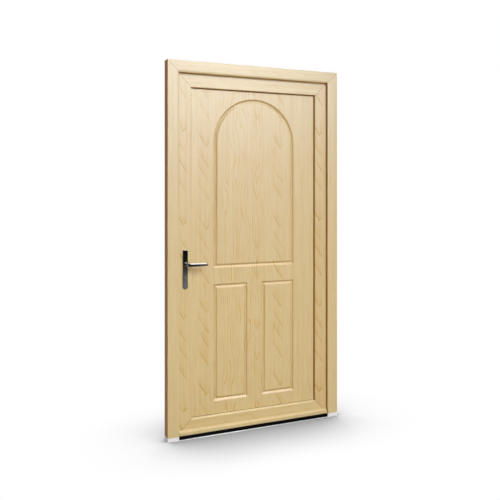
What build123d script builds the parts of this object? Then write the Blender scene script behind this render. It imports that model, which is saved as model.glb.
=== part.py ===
from build123d import *
import os
from math import atan2, degrees

# Panelled front door in its frame, seen from outside: +X to the right, outside towards -Y, +Z up.
# The origin is on the floor, in the middle of the frame's width and depth. Lengths are in millimetres.
# u runs from a profile's outer edge towards the opening, v from the frame's outside face inwards.

# Whole door
DOOR_WIDTH = 1100
DOOR_HEIGHT = 2150
OVERRUN = 2

# Outer frame: hollow profile, L-shaped in section, with a lip that covers the leaf's edge
FRAME_FACE = 68
FRAME_DEPTH = 60
FRAME_LIP = 18
FRAME_LIP_DEPTH = 18
FRAME_WALL = 3
FRAME_WEB = 2
FRAME_BEVEL = 10
FRAME_BEVEL_DROP = 2
FRAME_EDGE_ROUND = 1.5
BOLT_CHAMBER = 14
FIXING_HOLE_RADIUS = 5.5
FIXING_HOLE_SHARES = (0.12, 0.42, 0.62, 0.9)

# Threshold and the blocks under the jambs
FOOT_HEIGHT = 23
THRESHOLD_HEIGHT = 20
SILL_NOSE = 3
SILL_NOSE_ROUND = 1
CORE_SETBACK = 3
CORE_DEPTH = 33
SILL_RIB = 3
SILL_RIB_COUNT = 3

# Gaps and seals between leaf and frame
HARDWARE_GAP = 12
SEAL_GAP = 4
SEAL_CLEARANCE = 0.3
SEAL_WIDTH = 5
SEAL_INSET = 0.5
FLOOR_GAP = 7
BOTTOM_SEAL_DEPTH = 12

# Leaf: hollow profiles mitred round the panel
SASH_FACE = 85
SASH_BOTTOM_FACE = 82
SASH_OVERLAP = 20
SASH_LIP = 20
SASH_LIP_DEPTH = 16
SASH_WALL = 3
SASH_EDGE_ROUND = 5
BEAD_DEPTH = 12
BEAD_BEVEL = 7

# Panel: moulded grooves on both faces, one arched field over two lower fields
PANEL_THICKNESS = 28
PANEL_GASKET = 2
PANEL_GASKET_WIDTH = 13
PANEL_EDGE_GAP = 5
FIELD_SIDE_MARGIN = 153
FIELD_TOP_MARGIN = 57
FIELD_BOTTOM_MARGIN = 87
LOWER_FIELD_HEIGHT = 659
FIELD_CROSS_GAP = 117
FIELD_SPLIT_GAP = 116
GROOVE_WIDTH = 24
GROOVE_FLOOR = 3
GROOVE_DEPTH = 7

# Steel stiffeners
STEEL_THICKNESS = 2
STEEL_CLEARANCE = 0.3
STEEL_END_GAP = 3

# Rain deflector across the foot of the leaf
DRIP_DEPTH = 19
DRIP_FRONT_HEIGHT = 18
DRIP_RISE = 6
DRIP_BELOW = 2
DRIP_END_GAP = 4
DRIP_GROOVE = 3
DRIP_EDGE_ROUND = 2

# Hinges
HINGE_SHARES = (0.13, 0.5, 0.87)
HINGE_HEIGHT = 90
KNUCKLE_RADIUS = 9
KNUCKLE_GAP = 0.4
KNUCKLE_LIP_GAP = 3
KNUCKLE_SHARE = 0.36
HINGE_PIN_RADIUS = 4
PIN_CLEARANCE = 0.05
PIN_CAP_HEIGHT = 5
LEAF_THICKNESS = 3
SASH_LEAF_WIDTH = 40
FRAME_LEAF_EDGE = 4
FRAME_LEAF_INNER = 6
LEAF_CORNER_ROUND = 5

# Handle
LEVER_HEIGHT = 991
CYLINDER_DROP = 72
PLATE_WIDTH = 30
PLATE_HEIGHT = 224
PLATE_THICKNESS = 8
PLATE_ABOVE_LEVER = 84
PLATE_TOP_ROUND_SHARE = 0.27
PLATE_BOTTOM_ROUND_SHARE = 0.46
PLATE_EDGE_ROUND = 3
COLLAR_RADIUS = 12
COLLAR_HEIGHT = 5
LEVER_LENGTH = 120
LEVER_REACH = 50
LEVER_HALF_HEIGHT = 10
LEVER_HALF_THICKNESS = 6.5
LEVER_BEND = 16
LEVER_TAPER_SHARE = 0.7
LEVER_TIP_SHARE = 0.7
TURNING_CLEARANCE = 0.3
SPINDLE_SIZE = 8
SPINDLE_CLEARANCE = 0.1
SPINDLE_SOCKET = 24
SCREW_RADIUS = 2.5
SCREW_HEAD_RADIUS = 4.8
SCREW_HEAD_HEIGHT = 2.5
SCREW_CLEARANCE = 0.3
SCREW_END_MARGIN = 16

# Lock and its cylinder
CASE_THICKNESS = 16
CASE_BEHIND_SPINDLE = 12
CASE_BACK_GAP = 0.5
CASE_ABOVE_LEVER = 55
CASE_BELOW_CYLINDER = 41
CASE_SEAT = 0.3
LOCK_SLOT_CLEARANCE = 0.5
FOLLOWER_RADIUS = 10
FACEPLATE_THICKNESS = 3
FACEPLATE_WIDTH = 20
FACEPLATE_END = 40
BOLT_THICKNESS = 10
BOLT_CLEARANCE = 0.4
LATCH_HEIGHT = 20
LATCH_ABOVE_LEVER = 31
LATCH_LENGTH = 40
LATCH_BEVEL = 8
DEADBOLT_HEIGHT = 24
DEADBOLT_ABOVE_CYLINDER = 36
DEADBOLT_LENGTH = 48
CYLINDER_RADIUS = 8.5
CYLINDER_STEM = 10
CYLINDER_HEIGHT = 33
CYLINDER_PROUD = 2
PLUG_RADIUS = 6.5
PLUG_PROUD = 0.5
KEYWAY_WIDTH = 2
KEYWAY_HEIGHT = 8
KEYWAY_DEPTH = 20
CAM_REACH = 14
CAM_WIDTH = 9
CAM_THICKNESS = 9
CAM_CLEARANCE = 0.5

# Swinging bolts near the leaf's top and bottom corners, and the rods that drive them
SWING_BOLT_SHARES = (0.17, 0.82)
SWING_BOLT_INSET = 12
SWING_BOLT_LENGTH = 40
SWING_BOLT_WIDTH = 14
SWING_BOLT_THICKNESS = 8
SWING_PIN_RADIUS = 3
BOLT_CASE_DEPTH = 30
BOLT_CASE_ABOVE = 20
BOLT_CASE_BELOW = 52
SWEEP_CLEARANCE = 3
ROD_THICKNESS = 2.4
ROD_WIDTH = 12
ROD_TRAVEL = 15
ROD_END_GAP = 10

# Plates on the jamb that the bolts enter
STRIKE_THICKNESS = 3
STRIKE_WIDTH = 18
STRIKE_MARGIN = 22
STRIKE_CLEARANCE = 1.5

# Places worked out from the sizes above
FRAME_BODY = FRAME_FACE - FRAME_LIP
SASH_U = FRAME_BODY + HARDWARE_GAP
SASH_V = FRAME_LIP_DEPTH + SEAL_GAP
PANEL_V = SASH_V + SASH_LIP_DEPTH + PANEL_GASKET
BEAD_V = PANEL_V + PANEL_THICKNESS + PANEL_GASKET
SASH_BACK = BEAD_V + BEAD_DEPTH
OVERLAP_V = FRAME_DEPTH + SEAL_GAP
SASH_BODY = SASH_FACE - SASH_LIP
SASH_X = DOOR_WIDTH / 2 - SASH_U
SASH_TOP = DOOR_HEIGHT - SASH_U
SASH_BOTTOM = THRESHOLD_HEIGHT + FLOOR_GAP
SASH_HEIGHT = SASH_TOP - SASH_BOTTOM
OPEN_X = SASH_X - SASH_FACE
OPEN_TOP = SASH_TOP - SASH_FACE
OPEN_BOTTOM = SASH_BOTTOM + SASH_BOTTOM_FACE
FACE_STEP = SASH_FACE - SASH_BOTTOM_FACE
LOCK_V = FRAME_DEPTH - FRAME_WALL - BOLT_CHAMBER / 2
BACKSET = SASH_BODY - SASH_WALL - STEEL_CLEARANCE - STEEL_THICKNESS - CASE_BACK_GAP - CASE_BEHIND_SPINDLE
HANDLE_X = BACKSET - SASH_X
CYLINDER_Z = LEVER_HEIGHT - CYLINDER_DROP
PLATE_TOP = LEVER_HEIGHT + PLATE_ABOVE_LEVER
PLATE_BOTTOM = PLATE_TOP - PLATE_HEIGHT
SCREW_ZS = (PLATE_BOTTOM + SCREW_END_MARGIN, PLATE_TOP - SCREW_END_MARGIN)
LATCH_Z = LEVER_HEIGHT + LATCH_ABOVE_LEVER
DEADBOLT_Z = CYLINDER_Z + DEADBOLT_ABOVE_CYLINDER
CASE_TOP = LEVER_HEIGHT + CASE_ABOVE_LEVER
CASE_BOTTOM = CYLINDER_Z - CASE_BELOW_CYLINDER
CASE_FRONT = SASH_WALL + CASE_SEAT
SWING_ZS = [SASH_BOTTOM + share * SASH_HEIGHT for share in SWING_BOLT_SHARES]
HINGE_X = SASH_X + SASH_OVERLAP + KNUCKLE_LIP_GAP + KNUCKLE_RADIUS
HINGE_V = SASH_BACK + LEAF_THICKNESS - KNUCKLE_RADIUS
HINGE_ZS = [SASH_BOTTOM + share * SASH_HEIGHT for share in HINGE_SHARES]


def y_of(v):
    return v - FRAME_DEPTH / 2


def block(x0, x1, v0, v1, z0, z1):
    """A box between two x, two depths v and two heights."""
    centre = ((x0 + x1) / 2, (y_of(v0) + y_of(v1)) / 2, (z0 + z1) / 2)
    return Pos(*centre) * Box(x1 - x0, v1 - v0, z1 - z0)


def rect(u0, u1, v0, v1):
    return Pos((u0 + u1) / 2, (v0 + v1) / 2) * Rectangle(u1 - u0, v1 - v0)


def outline(*points):
    return make_face(Polyline(*points, close=True))


def rounded(face, u, v, radius):
    """The face with its corner nearest (u, v) rounded."""
    corner = face.vertices().sort_by_distance((u, v, 0))[0]
    return fillet(corner, radius)


def crosswise(face, x, z, v0, v1):
    """A prism through the door's depth, from v0 to v1, with its section drawn in x and z."""
    plane = Plane(origin=(x, y_of(v1), z), x_dir=(1, 0, 0), z_dir=(0, -1, 0))
    return extrude(plane * face, amount=v1 - v0)


def length_of(face, low, high, start=None, end=None):
    """A length of profile along +Z, cut at 45 degrees along z = u + start and z = end - u."""
    bar = Pos(0, 0, low) * extrude(face, amount=high - low, dir=(0, 0, 1))
    if start is not None:
        bar = split(bar, Plane(origin=(0, 0, start), x_dir=(0, 1, 0), z_dir=(-1, 0, 1)), keep=Keep.TOP)
    if end is not None:
        bar = split(bar, Plane(origin=(0, 0, end), x_dir=(0, 1, 0), z_dir=(-1, 0, -1)), keep=Keep.TOP)
    return bar


def standing_left(bar, edge_x, z):
    return Pos(-edge_x, y_of(0), z) * bar


def lying_under(bar, edge_x, z):
    """Lay a bar along +X with u pointing down from height z."""
    return Pos(-edge_x, y_of(0), z) * Rot(0, 90, 0) * bar


def lying_over(bar, edge_x, z):
    """Lay a bar along +X with u pointing up from height z."""
    return Pos(-edge_x, y_of(0), z) * mirror(Rot(0, 90, 0) * bar, about=Plane.XY)


def other_side(shape):
    return mirror(shape, about=Plane.YZ)


# Outer frame

def frame_profile():
    face = outline(
        (0, 0),
        (FRAME_FACE - FRAME_BEVEL, 0),
        (FRAME_FACE, FRAME_BEVEL_DROP),
        (FRAME_FACE, FRAME_LIP_DEPTH),
        (FRAME_BODY, FRAME_LIP_DEPTH),
        (FRAME_BODY, FRAME_DEPTH),
        (0, FRAME_DEPTH),
    )
    face = rounded(face, 0, 0, FRAME_EDGE_ROUND)
    face = rounded(face, FRAME_FACE, FRAME_BEVEL_DROP, FRAME_EDGE_ROUND)
    inner = FRAME_BODY - FRAME_WALL
    bolt_v = FRAME_DEPTH - FRAME_WALL - BOLT_CHAMBER
    face -= rect(FRAME_WALL, inner, FRAME_WALL, FRAME_LIP_DEPTH - FRAME_WALL)
    lip_front = FRAME_WALL + FRAME_BEVEL_DROP
    face -= rect(FRAME_BODY, FRAME_FACE - FRAME_WALL, lip_front, FRAME_LIP_DEPTH - FRAME_WALL)
    face -= rect(FRAME_WALL, inner, FRAME_LIP_DEPTH, bolt_v - FRAME_WEB)
    face -= rect(FRAME_WALL, inner, bolt_v, FRAME_DEPTH - FRAME_WALL)
    return face


def fixing_holes():
    """Holes across the left jamb for the screws into the wall, through the stiffener's chamber."""
    chamber_back = FRAME_DEPTH - FRAME_WALL - BOLT_CHAMBER - FRAME_WEB
    y = y_of((FRAME_LIP_DEPTH + chamber_back) / 2)
    length = FRAME_BODY + 2 * OVERRUN
    holes = []
    for share in FIXING_HOLE_SHARES:
        place = Pos(FRAME_BODY / 2 - DOOR_WIDTH / 2, y, share * DOOR_HEIGHT) * Rot(0, 90, 0)
        holes.append(place * Cylinder(FIXING_HOLE_RADIUS, length))
    return holes


def jamb_left_blank():
    bar = length_of(frame_profile(), FOOT_HEIGHT, DOOR_HEIGHT, end=DOOR_HEIGHT)
    return standing_left(bar, DOOR_WIDTH / 2, 0) - fixing_holes()


def bolt_windows(x0, x1, clearance):
    """Openings between x0 and x1 that the latch, the dead bolt and the swinging bolts pass through."""
    half = BOLT_THICKNESS / 2 + clearance
    windows = []
    for z, height in ((LATCH_Z, LATCH_HEIGHT), (DEADBOLT_Z, DEADBOLT_HEIGHT)):
        reach = height / 2 + clearance
        windows.append(block(x0, x1, LOCK_V - half, LOCK_V + half, z - reach, z + reach))
    for z in SWING_ZS:
        low = z - SWING_BOLT_LENGTH - clearance
        high = z + SWING_BOLT_WIDTH / 2 + clearance
        windows.append(block(x0, x1, LOCK_V - half, LOCK_V + half, low, high))
    return windows


def frame_jamb_left():
    wall_x = FRAME_BODY - DOOR_WIDTH / 2
    return jamb_left_blank() - bolt_windows(wall_x - FRAME_WALL - OVERRUN, wall_x + OVERRUN, STRIKE_CLEARANCE)


def frame_jamb_right():
    return other_side(jamb_left_blank())


def frame_head():
    bar = length_of(frame_profile(), 0, DOOR_WIDTH, start=0, end=DOOR_WIDTH)
    return lying_under(bar, DOOR_WIDTH / 2, DOOR_HEIGHT)


def channel(u0, u1, v0, v1, open_low):
    """U-shaped steel section, open towards low u or high u."""
    face = rect(u0, u1, v0, v1)
    t = STEEL_THICKNESS
    if open_low:
        return face - rect(u0 - OVERRUN, u1 - t, v0 + t, v1 - t)
    return face - rect(u0 + t, u1 + OVERRUN, v0 + t, v1 - t)


def frame_steel_profile():
    c = STEEL_CLEARANCE
    back = FRAME_DEPTH - FRAME_WALL - BOLT_CHAMBER - FRAME_WEB
    return channel(FRAME_WALL + c, FRAME_BODY - FRAME_WALL - c, FRAME_LIP_DEPTH + c, back - c, False)


def frame_steel_left():
    low = FOOT_HEIGHT + STEEL_END_GAP
    bar = length_of(frame_steel_profile(), low, DOOR_HEIGHT - FRAME_BODY - STEEL_END_GAP)
    return standing_left(bar, DOOR_WIDTH / 2, 0) - fixing_holes()


def frame_steel_head():
    inset = FRAME_BODY + STEEL_END_GAP
    bar = length_of(frame_steel_profile(), inset, DOOR_WIDTH - inset)
    return lying_under(bar, DOOR_WIDTH / 2, DOOR_HEIGHT)


def jamb_foot_left():
    """Cast block with the frame's own outline, which joins jamb and threshold."""
    face = outline(
        (0, 0),
        (FRAME_FACE, 0),
        (FRAME_FACE, FRAME_LIP_DEPTH),
        (FRAME_BODY, FRAME_LIP_DEPTH),
        (FRAME_BODY, FRAME_DEPTH),
        (0, FRAME_DEPTH),
    )
    face = rounded(face, 0, 0, FRAME_EDGE_ROUND)
    face = rounded(face, FRAME_FACE, 0, FRAME_EDGE_ROUND)
    return standing_left(length_of(face, 0, FOOT_HEIGHT), DOOR_WIDTH / 2, 0)


def across_threshold(face):
    """A length between the jambs' feet, with its section drawn in depth v and height z."""
    plane = Plane(origin=(FRAME_BODY - DOOR_WIDTH / 2, y_of(0), 0), x_dir=(0, 1, 0), z_dir=(1, 0, 0))
    bar = extrude(plane * face, amount=DOOR_WIDTH - 2 * FRAME_BODY)
    return bar - jamb_foot_left() - other_side(jamb_foot_left())


def threshold_sill():
    """Aluminium sill: a flat base with a front nose, and a ribbed tread behind the core."""
    tread_v = CORE_SETBACK + CORE_DEPTH
    face = rect(0, FRAME_DEPTH, 0, SILL_NOSE)
    face = rounded(face, 0, SILL_NOSE, SILL_NOSE_ROUND)
    face += rect(tread_v, FRAME_DEPTH, 0, THRESHOLD_HEIGHT)
    pitch = (FRAME_DEPTH - tread_v) / (SILL_RIB_COUNT + 1)
    for i in range(SILL_RIB_COUNT):
        v = tread_v + pitch * (i + 1)
        low = THRESHOLD_HEIGHT - SILL_RIB / 2
        face -= rect(v - SILL_RIB / 2, v + SILL_RIB / 2, low, THRESHOLD_HEIGHT + OVERRUN)
    hollow_top = THRESHOLD_HEIGHT - 2 * SILL_RIB
    face -= rect(tread_v + SILL_RIB, FRAME_DEPTH - SILL_RIB, SILL_NOSE, hollow_top)
    return across_threshold(face)


def threshold_core():
    face = rect(CORE_SETBACK, CORE_SETBACK + CORE_DEPTH, SILL_NOSE, THRESHOLD_HEIGHT)
    return across_threshold(face)


def seal_profile(u0, v_base, v_tip):
    """D-shaped seal: a flat foot at v_base, and a round back that stops at v_tip."""
    middle = (u0 + SEAL_WIDTH / 2, v_tip)
    arc = ThreePointArc((u0, v_base), middle, (u0 + SEAL_WIDTH, v_base))
    return make_face([arc, Line((u0 + SEAL_WIDTH, v_base), (u0, v_base))])


def frame_gasket():
    u0 = FRAME_FACE - SEAL_INSET - SEAL_WIDTH
    face = seal_profile(u0, FRAME_LIP_DEPTH, SASH_V - SEAL_CLEARANCE)
    upright = length_of(face, FOOT_HEIGHT, DOOR_HEIGHT, end=DOOR_HEIGHT)
    left = standing_left(upright, DOOR_WIDTH / 2, 0)
    head = length_of(face, 0, DOOR_WIDTH, start=0, end=DOOR_WIDTH)
    return left + lying_under(head, DOOR_WIDTH / 2, DOOR_HEIGHT) + other_side(left)


def keep_plate(low, high):
    x = FRAME_BODY - DOOR_WIDTH / 2
    half = STRIKE_WIDTH / 2
    plate = block(x, x + STRIKE_THICKNESS, LOCK_V - half, LOCK_V + half, low, high)
    upright = plate.edges().filter_by(Axis.X)
    plate = fillet(upright, STRIKE_THICKNESS)
    return plate - bolt_windows(x - OVERRUN, x + STRIKE_THICKNESS + OVERRUN, STRIKE_CLEARANCE)


def strike_plate():
    low = DEADBOLT_Z - DEADBOLT_HEIGHT / 2 - STRIKE_MARGIN
    return keep_plate(low, LATCH_Z + LATCH_HEIGHT / 2 + STRIKE_MARGIN)


def bolt_keep(z):
    return keep_plate(z - SWING_BOLT_LENGTH - STRIKE_MARGIN, z + STRIKE_MARGIN)


# Leaf

def sash_profile(face_width, overlap):
    """Leaf section: hollow body, front lip round the panel, and on most sides a lip over the frame."""
    body = face_width - SASH_LIP
    lip_back = SASH_V + SASH_LIP_DEPTH
    points = [
        (0, SASH_V),
        (face_width, SASH_V),
        (face_width, lip_back),
        (body, lip_back),
        (body, SASH_BACK),
    ]
    if overlap:
        points += [(-SASH_OVERLAP, SASH_BACK), (-SASH_OVERLAP, OVERLAP_V), (0, OVERLAP_V)]
    else:
        points += [(0, SASH_BACK)]
    face = rounded(outline(*points), face_width, SASH_V, SASH_EDGE_ROUND)
    face -= rect(SASH_WALL, body - SASH_WALL, SASH_V + SASH_WALL, SASH_BACK - SASH_WALL)
    face -= rect(body, face_width - SASH_WALL, SASH_V + SASH_WALL, lip_back - SASH_WALL)
    return face


def stile_left_blank():
    bar = length_of(sash_profile(SASH_FACE, True), 0, SASH_HEIGHT + SASH_OVERLAP, -FACE_STEP, SASH_HEIGHT)
    return standing_left(bar, SASH_X, SASH_BOTTOM)


def cylinder_outline(grow):
    """Section of the lock cylinder: a round head with a narrower stem below it."""
    stem = CYLINDER_STEM / 2
    drop = CYLINDER_HEIGHT - CYLINDER_RADIUS - stem
    face = Circle(CYLINDER_RADIUS + grow) + Pos(0, -drop / 2) * Rectangle(2 * (stem + grow), drop)
    return face + Pos(0, -drop) * Circle(stem + grow)


def cam_pocket():
    """Room inside the leaf for the lock's cam to turn in."""
    half = CAM_THICKNESS / 2 + CAM_CLEARANCE
    reach = Circle(CAM_REACH + CAM_CLEARANCE)
    return crosswise(reach, HANDLE_X, CYLINDER_Z, LOCK_V - half, LOCK_V + half)


def handle_holes(grow):
    """Holes through the lock stile for the follower, the cylinder and the handle's screws."""
    front = SASH_V - OVERRUN
    back = SASH_BACK + OVERRUN
    holes = [crosswise(Circle(FOLLOWER_RADIUS + grow), HANDLE_X, LEVER_HEIGHT, front, back)]
    holes.append(crosswise(cylinder_outline(grow), HANDLE_X, CYLINDER_Z, front, back))
    for z in SCREW_ZS:
        holes.append(crosswise(Circle(SCREW_RADIUS + grow), HANDLE_X, z, front, back))
    return holes


def lock_slot():
    """Slot in the stile's edge that the lock, its rods and its bolts sit in."""
    half = CASE_THICKNESS / 2 + LOCK_SLOT_CLEARANCE
    low = SWING_ZS[0] - BOLT_CASE_BELOW - LOCK_SLOT_CLEARANCE
    high = SWING_ZS[1] + BOLT_CASE_ABOVE + LOCK_SLOT_CLEARANCE
    return block(-SASH_X - OVERRUN, SASH_WALL - SASH_X, LOCK_V - half, LOCK_V + half, low, high)


def sash_stile_lock():
    return stile_left_blank() - handle_holes(SCREW_CLEARANCE) - lock_slot() - cam_pocket()


def sash_stile_hinge():
    return other_side(stile_left_blank())


def sash_top_rail():
    width = 2 * SASH_X
    bar = length_of(sash_profile(SASH_FACE, True), -SASH_OVERLAP, width + SASH_OVERLAP, 0, width)
    return lying_under(bar, SASH_X, SASH_TOP)


def sash_bottom_rail():
    width = 2 * SASH_X
    bar = length_of(sash_profile(SASH_BOTTOM_FACE, False), 0, width, FACE_STEP, width - FACE_STEP)
    return lying_over(bar, SASH_X, SASH_BOTTOM)


def sash_steel_profile(body):
    c = SASH_WALL + STEEL_CLEARANCE
    return channel(c, body - c, SASH_V + c, SASH_BACK - c, True)


def sash_steel_upright():
    inset = SASH_FACE + STEEL_END_GAP
    bar = length_of(sash_steel_profile(SASH_BODY), inset, SASH_HEIGHT - inset)
    return standing_left(bar, SASH_X, SASH_BOTTOM)


def sash_steel_lock():
    return sash_steel_upright() - handle_holes(2 * SCREW_CLEARANCE) - cam_pocket()


def sash_steel_hinge():
    return other_side(sash_steel_upright())


def sash_steel_top():
    inset = SASH_FACE + STEEL_END_GAP
    bar = length_of(sash_steel_profile(SASH_BODY), inset, 2 * SASH_X - inset)
    return lying_under(bar, SASH_X, SASH_TOP)


def sash_steel_bottom():
    inset = SASH_FACE + STEEL_END_GAP
    bar = length_of(sash_steel_profile(SASH_BOTTOM_FACE - SASH_LIP), inset, 2 * SASH_X - inset)
    return lying_over(bar, SASH_X, SASH_BOTTOM)


def arched_field(grow):
    """Outline of the arched field in x and z, moved outwards from its middle line by grow."""
    half = OPEN_X - FIELD_SIDE_MARGIN + grow
    springing = OPEN_TOP - FIELD_TOP_MARGIN - (OPEN_X - FIELD_SIDE_MARGIN)
    low = OPEN_BOTTOM + FIELD_BOTTOM_MARGIN + LOWER_FIELD_HEIGHT + FIELD_CROSS_GAP - grow
    sides = Polyline((-half, springing), (-half, low), (half, low), (half, springing))
    arch = ThreePointArc((half, springing), (0, springing + half), (-half, springing))
    return make_face([sides, arch])


def lower_field(side, grow):
    low = OPEN_BOTTOM + FIELD_BOTTOM_MARGIN - grow
    high = OPEN_BOTTOM + FIELD_BOTTOM_MARGIN + LOWER_FIELD_HEIGHT + grow
    inner = FIELD_SPLIT_GAP / 2 - grow
    outer = OPEN_X - FIELD_SIDE_MARGIN + grow
    return rect(*sorted((side * inner, side * outer)), low, high)


def groove(field):
    """Cutter for one moulded groove in the panel's front: a ring with sloping sides and a narrow floor."""
    run = (GROOVE_WIDTH - GROOVE_FLOOR) / 2
    slope = degrees(atan2(run, GROOVE_DEPTH))
    front = Plane(origin=(0, y_of(PANEL_V), 0), x_dir=(1, 0, 0), z_dir=(0, -1, 0))
    floor = front.offset(-GROOVE_DEPTH)
    outer = extrude(front * field(GROOVE_WIDTH / 2), amount=-GROOVE_DEPTH, taper=slope)
    island = extrude(floor * field(-GROOVE_FLOOR / 2), amount=GROOVE_DEPTH, taper=slope)
    return outer - island


def door_panel():
    edge_x = SASH_X - SASH_BODY - PANEL_EDGE_GAP
    top = SASH_TOP - SASH_BODY - PANEL_EDGE_GAP
    bottom = SASH_BOTTOM + SASH_BOTTOM_FACE - SASH_LIP + PANEL_EDGE_GAP
    panel = block(-edge_x, edge_x, PANEL_V, PANEL_V + PANEL_THICKNESS, bottom, top)
    cutters = [
        groove(arched_field),
        groove(lambda grow: lower_field(-1, grow)),
        groove(lambda grow: lower_field(1, grow)),
    ]
    middle = Plane(origin=(0, y_of(PANEL_V + PANEL_THICKNESS / 2), 0), z_dir=(0, 1, 0))
    return panel - cutters - [mirror(cutter, about=middle) for cutter in cutters]


def ring(inset, width, v0, v1):
    """Flat seal round the panel's opening, from inset outside the opening's edge and width wide."""
    outer_x = OPEN_X + inset + width
    outer_top = OPEN_TOP + inset + width
    outer_low = OPEN_BOTTOM - inset - width
    face = rect(-outer_x, outer_x, outer_low, outer_top)
    face -= rect(-OPEN_X - inset, OPEN_X + inset, OPEN_BOTTOM - inset, OPEN_TOP + inset)
    return crosswise(face, 0, 0, v0, v1)


def panel_gasket_outside():
    return ring(SEAL_INSET, PANEL_GASKET_WIDTH, PANEL_V - PANEL_GASKET, PANEL_V)


def panel_gasket_inside():
    return ring(SEAL_INSET, PANEL_GASKET_WIDTH, BEAD_V - PANEL_GASKET, BEAD_V)


def bead_profile():
    """Bead that clips to the leaf's body and holds the panel from inside, with a sloping edge."""
    return outline(
        (0, BEAD_V),
        (SASH_LIP, BEAD_V),
        (SASH_LIP, SASH_BACK - BEAD_BEVEL),
        (SASH_LIP - BEAD_BEVEL, SASH_BACK),
        (0, SASH_BACK),
    )


def glazing_bead_left():
    low = OPEN_BOTTOM - SASH_LIP
    height = OPEN_TOP + SASH_LIP - low
    return standing_left(length_of(bead_profile(), 0, height, 0, height), OPEN_X + SASH_LIP, low)


def bead_across():
    width = 2 * (OPEN_X + SASH_LIP)
    return length_of(bead_profile(), 0, width, 0, width)


def glazing_bead_top():
    return lying_under(bead_across(), OPEN_X + SASH_LIP, OPEN_TOP + SASH_LIP)


def glazing_bead_bottom():
    return lying_over(bead_across(), OPEN_X + SASH_LIP, OPEN_BOTTOM - SASH_LIP)


def sash_gasket():
    """Seal on the front of the leaf's overlapping lip, which closes on the frame's inside face."""
    u0 = -SASH_OVERLAP + SEAL_WIDTH / 2
    face = seal_profile(u0, OVERLAP_V, FRAME_DEPTH + SEAL_CLEARANCE)
    width = 2 * SASH_X
    upright = length_of(face, 0, SASH_HEIGHT + SASH_OVERLAP, end=SASH_HEIGHT)
    left = standing_left(upright, SASH_X, SASH_BOTTOM)
    across = length_of(face, -SASH_OVERLAP, width + SASH_OVERLAP, 0, width)
    return left + lying_under(across, SASH_X, SASH_TOP) + other_side(left)


def bottom_seal():
    v = (SASH_V + FRAME_DEPTH) / 2
    half = BOTTOM_SEAL_DEPTH / 2
    low = THRESHOLD_HEIGHT + SEAL_CLEARANCE
    x = SASH_X - SEAL_GAP
    return block(-x, x, v - half, v + half, low, SASH_BOTTOM)


def drip_bar():
    """Rain deflector: sloping top, rounded front edge and a drip groove underneath."""
    front = SASH_V - DRIP_DEPTH
    low = SASH_BOTTOM - DRIP_BELOW
    high = low + DRIP_FRONT_HEIGHT
    face = outline((SASH_V, low), (front, low), (front, high), (SASH_V, high + DRIP_RISE))
    face = rounded(face, front, high, DRIP_EDGE_ROUND)
    groove_v = front + DRIP_DEPTH / 3
    face -= rect(groove_v, groove_v + DRIP_GROOVE, low - OVERRUN, low + DRIP_GROOVE)
    half = DOOR_WIDTH / 2 - FRAME_FACE - DRIP_END_GAP
    plane = Plane(origin=(-half, y_of(0), 0), x_dir=(0, 1, 0), z_dir=(1, 0, 0))
    return extrude(plane * face, amount=2 * half)


# Hinges

def hinge_barrel(low, high):
    """A length of hinge barrel, still solid."""
    place = Pos(HINGE_X, y_of(HINGE_V), (low + high) / 2)
    return place * Cylinder(KNUCKLE_RADIUS, high - low)


def hinge_bore(z):
    bore = Cylinder(HINGE_PIN_RADIUS + PIN_CLEARANCE, HINGE_HEIGHT + 2 * OVERRUN)
    return Pos(HINGE_X, y_of(HINGE_V), z) * bore


def knuckle_span(z):
    """Heights of the middle knuckle's lower and upper ends."""
    half = KNUCKLE_SHARE * HINGE_HEIGHT / 2
    return z - half, z + half


def leaf_plate(x0, x1, v0, z):
    half = HINGE_HEIGHT / 2
    plate = block(x0, x1, v0, v0 + LEAF_THICKNESS, z - half, z + half)
    return fillet(plate.edges().filter_by(Axis.Y), LEAF_CORNER_ROUND)


def hinge_frame_leaf(z):
    x1 = DOOR_WIDTH / 2 - FRAME_LEAF_EDGE
    half = HINGE_HEIGHT / 2
    low, high = knuckle_span(z)
    leaf = leaf_plate(HINGE_X - FRAME_LEAF_INNER, x1, FRAME_DEPTH, z)
    for z0, z1 in ((z - half, low - KNUCKLE_GAP), (high + KNUCKLE_GAP, z + half)):
        stem = FRAME_LEAF_INNER
        leaf += block(HINGE_X - stem, HINGE_X + stem, FRAME_DEPTH + LEAF_THICKNESS, HINGE_V, z0, z1)
        leaf += hinge_barrel(z0, z1)
    return leaf - hinge_bore(z)


def hinge_sash_leaf(z):
    x1 = SASH_X + SASH_OVERLAP
    low, high = knuckle_span(z)
    leaf = leaf_plate(x1 - SASH_LEAF_WIDTH, x1, SASH_BACK, z)
    leaf += block(x1 - LEAF_CORNER_ROUND, HINGE_X, SASH_BACK, SASH_BACK + LEAF_THICKNESS, low, high)
    leaf += hinge_barrel(low, high)
    return leaf - hinge_bore(z)


def hinge_pin(z):
    half = HINGE_HEIGHT / 2
    place = Pos(HINGE_X, y_of(HINGE_V), z)
    pin = place * Cylinder(HINGE_PIN_RADIUS, HINGE_HEIGHT)
    cap = Cylinder(KNUCKLE_RADIUS, PIN_CAP_HEIGHT)
    cap = fillet(cap.edges().sort_by(Axis.Z)[-1], PIN_CAP_HEIGHT / 2)
    return pin + Pos(HINGE_X, y_of(HINGE_V), z + half + PIN_CAP_HEIGHT / 2) * cap


# Handle

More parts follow.
